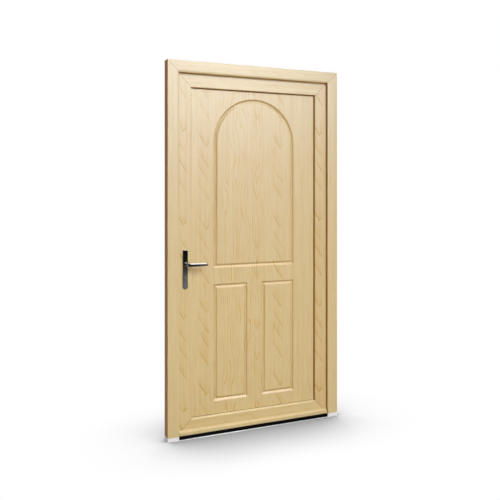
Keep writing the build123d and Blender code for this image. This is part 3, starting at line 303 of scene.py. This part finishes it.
# the bottom rail and the drip bar carry a painted highlight along their upper edge
lowGrain = {"columns": [{**flatColumn, "across": 0.070}], "veins": 0.12, "veinAt": 0.1,
            "highlightLevel": railHigh.z - foil["highlightDrop"]}
dripGrain = {**plainGrain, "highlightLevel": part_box("drip_bar")[1].z - foil["highlightDrop"]}
dress(mapleFoil("maple_foil_jambs", True, plainGrain, frameRim), "frame_jamb_left", "frame_jamb_right")
dress(mapleFoil("maple_foil_head", False, headGrain, frameRim), "frame_head")
dress(mapleFoil("maple_foil_lock_stile", True, lockGrain, leafRim), "sash_stile_lock")
dress(mapleFoil("maple_foil_hinge_stile", True, hingeGrain, leafRim), "sash_stile_hinge")
dress(mapleFoil("maple_foil_top_rail", False, topGrain, leafRim), "sash_top_rail")
dress(mapleFoil("maple_foil_bottom_rail", False, lowGrain, lowRim), "sash_bottom_rail")
dress(mapleFoil("maple_foil_panel", True, panelGrain), "door_panel")
dress(mapleFoil("maple_foil_beads_upright", True, plainGrain), "glazing_bead_left", "glazing_bead_right")
dress(mapleFoil("maple_foil_beads_flat", False, plainGrain), "glazing_bead_top", "glazing_bead_bottom")
dress(mapleFoil("maple_foil_drip_bar", False, dripGrain), "drip_bar")
print("foil dressed")


# Fittings: every finish has the same soft speckle, with its own colours, size in metres and gloss
finish = {"detail": 3.0, "relief": 0.1, "reliefHigh": 0.0001}


def speckled(name, pale, dark, size, stretch=(1.0, 1.0, 1.0), **sockets):
    # a plain finish whose tone wanders softly between two near colours, in specks that a stretch under 1
    # draws out along an axis
    plain = {key.replace("_", " "): value for key, value in sockets.items()}
    material, tree, shader, place = newMaterial(name, plain)
    scaled = addNode(tree, "VectorMath", [place, tuple(s / size for s in stretch)], operation="MULTIPLY")
    noise = addNode(tree, "TexNoise", {"Vector": scaled, "Scale": 1.0, "Detail": finish["detail"]})
    colour = addNode(tree, "Mix", {0: noise, 6: linear(pale), 7: linear(dark)}, out=2, data_type="RGBA")
    tree.links.new(colour, shader["Base Color"])
    bump = {"Height": noise, "Strength": finish["relief"], "Distance": finish["reliefHigh"]}
    tree.links.new(addNode(tree, "Bump", bump), shader["Normal"])
    return material


# galvanised steel: dull grey with faint spangle
galvanised = speckled("galvanised_steel", "#b4b7ba", "#8e9296", 0.006, Metallic=1.0, Roughness=0.5)
stiffeners = [name for name in nodes if "_steel_" in name]
dress(galvanised, *stiffeners, "lock_case", "bolt_case_top", "bolt_case_bottom")
# zinc-plated steel: brighter, with a drawn grain along the length, coarser than the real one so that it shows
zinc = speckled("zinc_plated_steel", "#c9cacc", "#a5a7aa", 0.0015, (1.0, 1.0, 0.03),
                Metallic=1.0, Roughness=0.32)
dress(zinc, "lock_faceplate", "strike_plate", "bolt_keep_top", "bolt_keep_bottom", "latch_bolt", "dead_bolt",
      "swing_bolt_top", "swing_bolt_bottom", "drive_rods", "spindle", "handle_screws")
# mill-finish aluminium: pale grey, drawn along the threshold, its die lines coarser than real ones
aluminium = speckled("mill_aluminium", "#e6e6e8", "#cfd0d2", 0.0012, (0.02, 1.0, 1.0),
                     Metallic=1.0, Roughness=0.3)
dress(aluminium, "threshold_sill")
# silver lacquer on castings: nearly white, fine-grained and satin
lacquer = speckled("silver_lacquered_casting", "#ebf0f8", "#dfe5ee", 0.002, Roughness=0.45)
dress(lacquer, "jamb_foot_left", "jamb_foot_right")
# black polyamide and rubber: deep black, matt, with hardly any gloss
polyamide = speckled("black_polyamide", "#060505", "#020202", 0.003, Roughness=0.8, Specular_IOR_Level=0.05)
dress(polyamide, "threshold_core")
rubber = speckled("black_rubber", "#171615", "#0e0d0d", 0.002, Roughness=0.8, Specular_IOR_Level=0.2)
dress(rubber, "sash_gasket", "panel_gasket_inside", "bottom_seal")
# brown rubber: dark, matt and warm, close to the foil's own shade
brownRubber = speckled("brown_rubber", "#4c361c", "#402c16", 0.002, Roughness=0.8, Specular_IOR_Level=0.2)
dress(brownRubber, "frame_gasket", "panel_gasket_outside")
# nickel-plated brass: bright, slightly warm
nickel = speckled("nickel_plated_brass", "#9d9b96", "#8a8883", 0.001, Metallic=1.0, Roughness=0.25)
dress(nickel, "cylinder_plug")
# brown enamel on the hinges, with a low sheen, and bright steel pins
enamel = speckled("brown_enamel", "#6b4527", "#5b391f", 0.002, Roughness=0.38)
dress(enamel, *[name for name in nodes if name.startswith("hinge_frame") or name.startswith("hinge_sash")])
dress(speckled("bright_steel", "#cfd0d1", "#b6b7b9", 0.001, Metallic=1.0, Roughness=0.22),
      "hinge_pin_1", "hinge_pin_2", "hinge_pin_3")
# dark polished nickel: mirror-like, so that lamps show as crisp glints and dark cards as near black
dark = speckled("dark_polished_nickel", "#6f6e6d", "#646362", 0.02, Metallic=1.0, Roughness=0.1)
dress(dark, "handle_plate_outside", "handle_plate_inside", "cylinder_body")
# polished nickel on the levers: smoother still, with one crisp bright line along the top
mirror = speckled("polished_nickel", "#62605d", "#5a5856", 0.02, Metallic=1.0, Roughness=0.035)
dress(mirror, "lever_outside", "lever_inside")
print("fittings dressed")


def makePiece(name, shells, material, body):
    # one object from closed shells; a shell is a stack of rings, skinned from ring to ring and fanned
    # to a point in the middle of its first and of its last ring
    places, quads, fans, start = [], [], [], 0
    for rings in shells:
        count, around = rings.shape[:2]
        index = start + np.arange(count * around).reshape(count, around)
        turned = np.roll(index, -1, axis=1)
        quads.append(np.stack([index[:-1], turned[:-1], turned[1:], index[1:]], axis=-1).reshape(-1, 4))
        first, last = np.full(around, start + count * around), np.full(around, start + count * around + 1)
        fans.append(np.stack([turned[0], index[0], first], axis=-1))
        fans.append(np.stack([index[-1], turned[-1], last], axis=-1))
        places += [rings.reshape(-1, 3), rings[0].mean(axis=0)[None], rings[-1].mean(axis=0)[None]]
        start += count * around + 2
    mesh = bpy.data.meshes.new(name)
    faces = np.concatenate(quads).tolist() + np.concatenate(fans).tolist()
    mesh.from_pydata(np.concatenate(places).tolist(), [], faces)
    work = bmesh.new()
    work.from_mesh(mesh)
    bmesh.ops.recalc_face_normals(work, faces=work.faces)
    work.to_mesh(mesh)
    work.free()
    mesh.shade_smooth()
    mesh.materials.append(material)
    piece = bpy.data.objects.new(name, mesh)
    scene.collection.objects.link(piece)
    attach(piece, body)
    return piece


# Lever: sizes in metres, as on the solid that it stands for
lever = {"halfThick": 0.0065, "halfHigh": 0.010, "bend": 0.016, "taper": 0.7, "cap": 0.005,
         "collar": 0.012, "collarHigh": 0.013, "collarRound": 0.002, "flare": 0.14, "flareLong": 0.008,
         "square": 8.0, "ridge": 0.68, "lean": 0.34, "clear": 0.0004,
         "around": 48, "steps": {"rise": 24, "bend": 20, "run": 24, "tip": 12, "edge": 8}}


def leverShells(node, outward):
    # bar: a squarish oval (the sine and cosine of the turn raised to a power under 1) carried straight out
    # of the plate, round a quarter bend and along to the tip; its half axes shrink evenly along the bar,
    # and close over the tip as a quarter ellipse; above a ridge both faces lean in by a share of the
    # height over it; collar: a disc's profile with a rounded front edge, turned about the lever's own
    # axis; bar and collar start a little clear of the sash's face
    low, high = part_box(node)
    face = high.y if outward < 0 else low.y
    reach = high.y - low.y - lever["halfThick"]
    bend = lever["bend"]
    grip = high.x - low.x - lever["collar"] - bend
    steps = lever["steps"]
    rise = np.linspace(lever["clear"], reach - bend, steps["rise"])
    angle = np.linspace(0.0, math.pi / 2, steps["bend"])[1:]
    tip = np.linspace(0.0, math.pi / 2, steps["tip"])[1:-1]
    run = np.concatenate([np.linspace(0.0, grip - lever["cap"], steps["run"])[1:],
                          grip - lever["cap"] * (1 - np.sin(tip))])
    alongX = np.concatenate([0 * rise, bend * (1 - np.cos(angle)), bend + run])
    alongY = np.concatenate([rise, reach - bend + bend * np.sin(angle), reach + 0 * run])
    heading = np.concatenate([0 * rise, angle, math.pi / 2 + 0 * run])
    past = np.clip((run - grip + lever["cap"]) / lever["cap"], 0.0, 1.0)
    barScale = (1 - (1 - lever["taper"]) * run / grip) * np.sqrt(1 - past ** 2)
    foot = np.clip(1 - (rise - lever["collarHigh"]) / lever["flareLong"], 0.0, 1.0)
    scale = np.concatenate([1 + lever["flare"] * foot ** 2, 1 + 0 * angle, barScale])
    turn = np.linspace(0.0, 2 * math.pi, lever["around"], endpoint=False)
    oval = 2 / lever["square"]
    half = lever["halfThick"] * scale[:, None]
    ridge = lever["ridge"] * lever["halfHigh"] * scale[:, None]
    wide = half * np.sign(np.cos(turn)) * np.abs(np.cos(turn)) ** oval
    tall = lever["halfHigh"] * scale[:, None] * np.sign(np.sin(turn)) * np.abs(np.sin(turn)) ** oval
    slope = half - lever["lean"] * (tall - ridge)
    wide = np.clip(wide, -slope, slope)
    axisX, axisZ = low.x + lever["collar"], (low.z + high.z) / 2
    bar = np.stack([axisX + alongX[:, None] + wide * np.cos(heading)[:, None],
                    face + outward * (alongY[:, None] - wide * np.sin(heading)[:, None]),
                    axisZ + tall], axis=-1)
    edge = np.linspace(0.0, math.pi / 2, steps["edge"])
    inner, top = lever["collar"] - lever["collarRound"], lever["collarHigh"] - lever["collarRound"]
    radius = np.concatenate([[lever["collar"]], inner + lever["collarRound"] * np.cos(edge)])
    depth = np.concatenate([[lever["clear"]], top + lever["collarRound"] * np.sin(edge)])
    collar = np.stack([axisX + radius[:, None] * np.cos(turn),
                       face + outward * depth[:, None] + 0 * turn,
                       axisZ + radius[:, None] * np.sin(turn)], axis=-1)
    return [bar, collar]


for side, outward in (("outside", -1), ("inside", 1)):
    shells = leverShells("lever_" + side, outward)
    piece = makePiece("lever_bar_" + side, shells, mirror, "lever_set")
    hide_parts("lever_" + side)
print("levers shaped")

# Screw heads on the hinges, the lock's faceplate and the plates on the jamb; sizes in metres, and rings as
# shares of the radius, from the sunk edge over the rim to the middle
screw = {"radius": 0.0038, "dome": 0.0009, "sunk": 0.0006, "slot": 0.0007, "slotLong": 0.62,
         "slotDeep": 0.0008, "around": 32, "rings": (0.9, 1.0, 0.94, 0.8, 0.66, 0.56, 0.42, 0.28, 0.16, 0.06)}


def screwShell(place, axis):
    # a low dome over a disc, height falling with the square of the radius, with a cross cut into it:
    # a point is cut where it is near one of two crossing lines and within part of the radius
    turn = np.linspace(0.0, 2 * math.pi, screw["around"], endpoint=False)
    share = np.array(screw["rings"])[:, None]
    across, up = screw["radius"] * share * np.cos(turn), screw["radius"] * share * np.sin(turn)
    high = screw["dome"] * (1 - share ** 2) + 0 * turn
    cut = np.minimum(np.abs(across), np.abs(up)) < screw["slot"]
    high = np.where(cut & (share < screw["slotLong"]), high - screw["slotDeep"], high)
    high[0] = -screw["sunk"]
    out = np.array(axis, dtype=float)
    sideways = np.cross(out, (0.0, 0.0, 1.0))
    local = across[..., None] * sideways + up[..., None] * np.array((0.0, 0.0, 1.0)) + high[..., None] * out
    return np.array(place) + local


# plate is the thickness of a hinge's fixed half on the jamb's inside face
hingeScrew = {"frameEdge": 0.008, "leafEdges": (0.012, 0.026), "spread": 0.030, "plate": 0.003}
plateFace = jambHigh.y + hingeScrew["plate"]
onFrame, onLeaf = [], []
for number in (1, 2, 3):
    low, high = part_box(f"hinge_frame_leaf_{number}")
    leafLow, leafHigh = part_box(f"hinge_sash_leaf_{number}")
    for step in (-1, 0, 1):
        level = (low.z + high.z) / 2 + step * hingeScrew["spread"]
        inset = hingeScrew["leafEdges"][1 - abs(step)]
        onFrame.append(screwShell((high.x - hingeScrew["frameEdge"], plateFace, level), (0, 1, 0)))
        onLeaf.append(screwShell((leafLow.x + inset, leafHigh.y, level), (0, 1, 0)))
makePiece("hinge_screws_frame", onFrame, zinc, "frame")
makePiece("hinge_screws_leaf", onLeaf, zinc, "leaf")
plateScrew = {"end": 0.011, "shares": (0.16, 0.33, 0.60, 0.72)}
onFrame = []
for name in ("strike_plate", "bolt_keep_top", "bolt_keep_bottom"):
    low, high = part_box(name)
    for height in (low.z + plateScrew["end"], high.z - plateScrew["end"]):
        onFrame.append(screwShell((high.x, (low.y + high.y) / 2, height), (1, 0, 0)))
makePiece("strike_screws", onFrame, zinc, "frame")
low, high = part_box("lock_faceplate")
heights = [low.z + plateScrew["end"], high.z - plateScrew["end"]]
heights += [low.z + share * (high.z - low.z) for share in plateScrew["shares"]]
onLeaf = [screwShell((low.x, (low.y + high.y) / 2, height), (-1, 0, 0)) for height in heights]
makePiece("faceplate_screws", onLeaf, zinc, "leaf")
print("screws set")

# Seal lips: the soft edge of the panel's outside gasket, showing all round in the corner behind the sash,
# and partly painted shade: a dark band for the shade in that corner, drawn thicker along the top
lip = {"side": 0.0013, "top": 0.0024, "around": 12}
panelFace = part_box("door_panel")[0].y
turn = np.linspace(0.0, 2 * math.pi, lip["around"], endpoint=False)
wide, tall = np.cos(turn), np.sin(turn)
ends = np.array([-1.0, 1.0])[:, None]
middle = (leafRim["openTop"] + leafRim["openLow"]) / 2
halfHigh = (leafRim["openTop"] - leafRim["openLow"]) / 2
bars = []
for sign in (-1, 1):
    # a round section carried straight along one edge of the opening
    level, edge = middle + sign * halfHigh, sign * leafRim["inner"]
    # the top lip is thicker than the gasket's edge, as painted shade under the top rail
    thick = lip["top"] if sign > 0 else lip["side"]
    flat = (ends * leafRim["inner"], panelFace + thick * wide, level + thick * tall)
    upright = (edge + lip["side"] * tall, panelFace + lip["side"] * wide, middle + ends * halfHigh)
    bars += [np.stack(np.broadcast_arrays(*run), axis=-1) for run in (flat, upright)]
makePiece("panel_gasket_lip", bars, brownRubber, "leaf")
print("seal lips set")

# Studio: a low soft world, a broad key aimed low so that it fades towards the top of the door, soft boxes
# in front and above that show only as gloss, a warm low fill, a box behind, and one at each side that
# lights the edges and the opened leaf; white background
studio = {
    "world": 0.10, "tint": "#ffe2c0",
    "key": {"place": (0.6, -5.8, 4.4), "aim": (-0.12, 0.0, 0.74), "radius": 2.0,
            "cone": 35.0, "blend": 0.975, "power": 2560.0},
    "boxes": {
        "front": {"place": (1.65, -5.5, 4.2), "aim": (0.0, 0.0, 1.5), "size": (3.0, 2.6), "power": 675.0,
                  "shows": ("glossy",)},
        "fill": {"place": (0.2, -5.5, 0.9), "aim": (0.0, 0.0, 0.8), "size": (4.0, 2.0), "power": 85.0,
                 "shows": ("diffuse",), "tint": "#ffdfbc"},
        "above": {"place": (0.4, -2.2, 5.2), "aim": (0.1, 0.0, 1.4), "size": (3.0, 1.6), "power": 110.0,
                  "shows": ("glossy",)},
        "rear": {"place": (1.8, 5.0, 3.0), "aim": (0.0, 0.0, 1.1), "size": (3.0, 2.4), "power": 220.0,
                 "shows": ("diffuse", "glossy")},
        "left": {"place": (-4.5, 1.2, 2.0), "aim": (-0.4, 0.0, 1.1), "size": (1.6, 2.4), "power": 55.0,
                 "shows": ("diffuse", "glossy")},
        "right": {"place": (4.5, 1.2, 2.0), "aim": (0.4, 0.0, 1.1), "size": (1.6, 2.4), "power": 75.0,
                  "shows": ("diffuse",)},
    },
}


def seenRay(tree):
    # 1 for rays that show the background itself: camera, glossy and transmission rays
    path = addNode(tree, "LightPath").node.outputs
    seen = addNode(tree, "Math", [path["Is Camera Ray"], path["Is Glossy Ray"]], operation="MAXIMUM")
    return addNode(tree, "Math", [seen, path["Is Transmission Ray"]], operation="MAXIMUM")


def placeLamp(name, lamp, place, aim):
    # a lamp's own beam runs down -Z, so it is pitched and then turned towards its aim
    holder = bpy.data.objects.new(name, lamp)
    holder.location = place
    beam = np.array(aim) - np.array(place)
    holder.rotation_euler = (math.acos(-beam[2] / np.linalg.norm(beam)), 0, math.atan2(-beam[0], beam[1]))
    scene.collection.objects.link(holder)
    return holder


world = bpy.data.worlds.new("studio")
scene.world = world
world.use_nodes = True
tree = world.node_tree
tree.nodes.clear()
soft = addNode(tree, "Background", [linear(studio["tint"]), studio["world"]])
white = addNode(tree, "Background", [linear("#ffffff"), 1.0])
addNode(tree, "OutputWorld", [addNode(tree, "MixShader", [seenRay(tree), soft, white])])

key = bpy.data.lights.new("key", "SPOT")
key.energy = studio["key"]["power"]
key.shadow_soft_size = studio["key"]["radius"]
key.spot_size = math.radians(studio["key"]["cone"])
key.spot_blend = studio["key"]["blend"]
placeLamp("key", key, studio["key"]["place"], studio["key"]["aim"]).visible_glossy = False
for name, box in studio["boxes"].items():
    lamp = bpy.data.lights.new(name, "AREA")
    lamp.shape = "RECTANGLE"
    lamp.size, lamp.size_y = box["size"]
    lamp.energy = box["power"]
    lamp.color = linear(box.get("tint", "#ffffff"))[:3]
    holder = placeLamp(name, lamp, box["place"], box["aim"])
    holder.visible_diffuse = "diffuse" in box["shows"]
    holder.visible_glossy = "glossy" in box["shows"]

# Floor: pale, and white to the eye but for the shade that gathers round the door's foot
ground = {"half": 20.0, "shade": 0.55, "samples": 16, "span": (0.45, 0.97), "dark": 0.22, "matt": "#989898"}
corners = np.array([(-1, -1, 0), (1, -1, 0), (1, 1, 0), (-1, 1, 0)]) * ground["half"]
sheet = bpy.data.meshes.new("floor")
sheet.from_pydata(corners.tolist(), [], [(0, 1, 2, 3)])
floor = bpy.data.objects.new("floor", sheet)
scene.collection.objects.link(floor)
material = bpy.data.materials.new("white_floor")
material.use_nodes = True
tree = material.node_tree
tree.nodes.clear()
shade = addNode(tree, "AmbientOcclusion", {"Distance": ground["shade"]}, out="AO", samples=ground["samples"])
grey = addNode(tree, "MapRange", [shade, *ground["span"], ground["dark"], 1.0])
glow = addNode(tree, "Emission", [linear("#ffffff"), grey])
matt = addNode(tree, "BsdfDiffuse", [linear(ground["matt"])])
addNode(tree, "OutputMaterial", [addNode(tree, "MixShader", [seenRay(tree), matt, glow])])
sheet.materials.append(material)

# Dark cards far before and behind the door, seen only in gloss: polished metal shows them as a dark band
card = {"away": 6.1, "half": 7.0, "low": 0.1, "high": 9.0, "colour": "#020202"}
black = bpy.data.materials.new("black_card")
black.use_nodes = True
black.node_tree.nodes.clear()
matt = addNode(black.node_tree, "BsdfDiffuse", [linear(card["colour"])])
addNode(black.node_tree, "OutputMaterial", [matt])
outline = np.array([(-1, 0, 0), (1, 0, 0), (1, 0, 1), (-1, 0, 1)])
for name, away in (("card_front", -card["away"]), ("card_rear", card["away"])):
    sheet = bpy.data.meshes.new(name)
    corners = outline * (card["half"], 0, card["high"] - card["low"]) + (0, away, card["low"])
    sheet.from_pydata(corners.tolist(), [], [(0, 1, 2, 3)])
    sheet.materials.append(black)
    board = bpy.data.objects.new(name, sheet)
    scene.collection.objects.link(board)
    board.visible_camera = board.visible_diffuse = board.visible_shadow = board.visible_transmission = False
print("studio set")
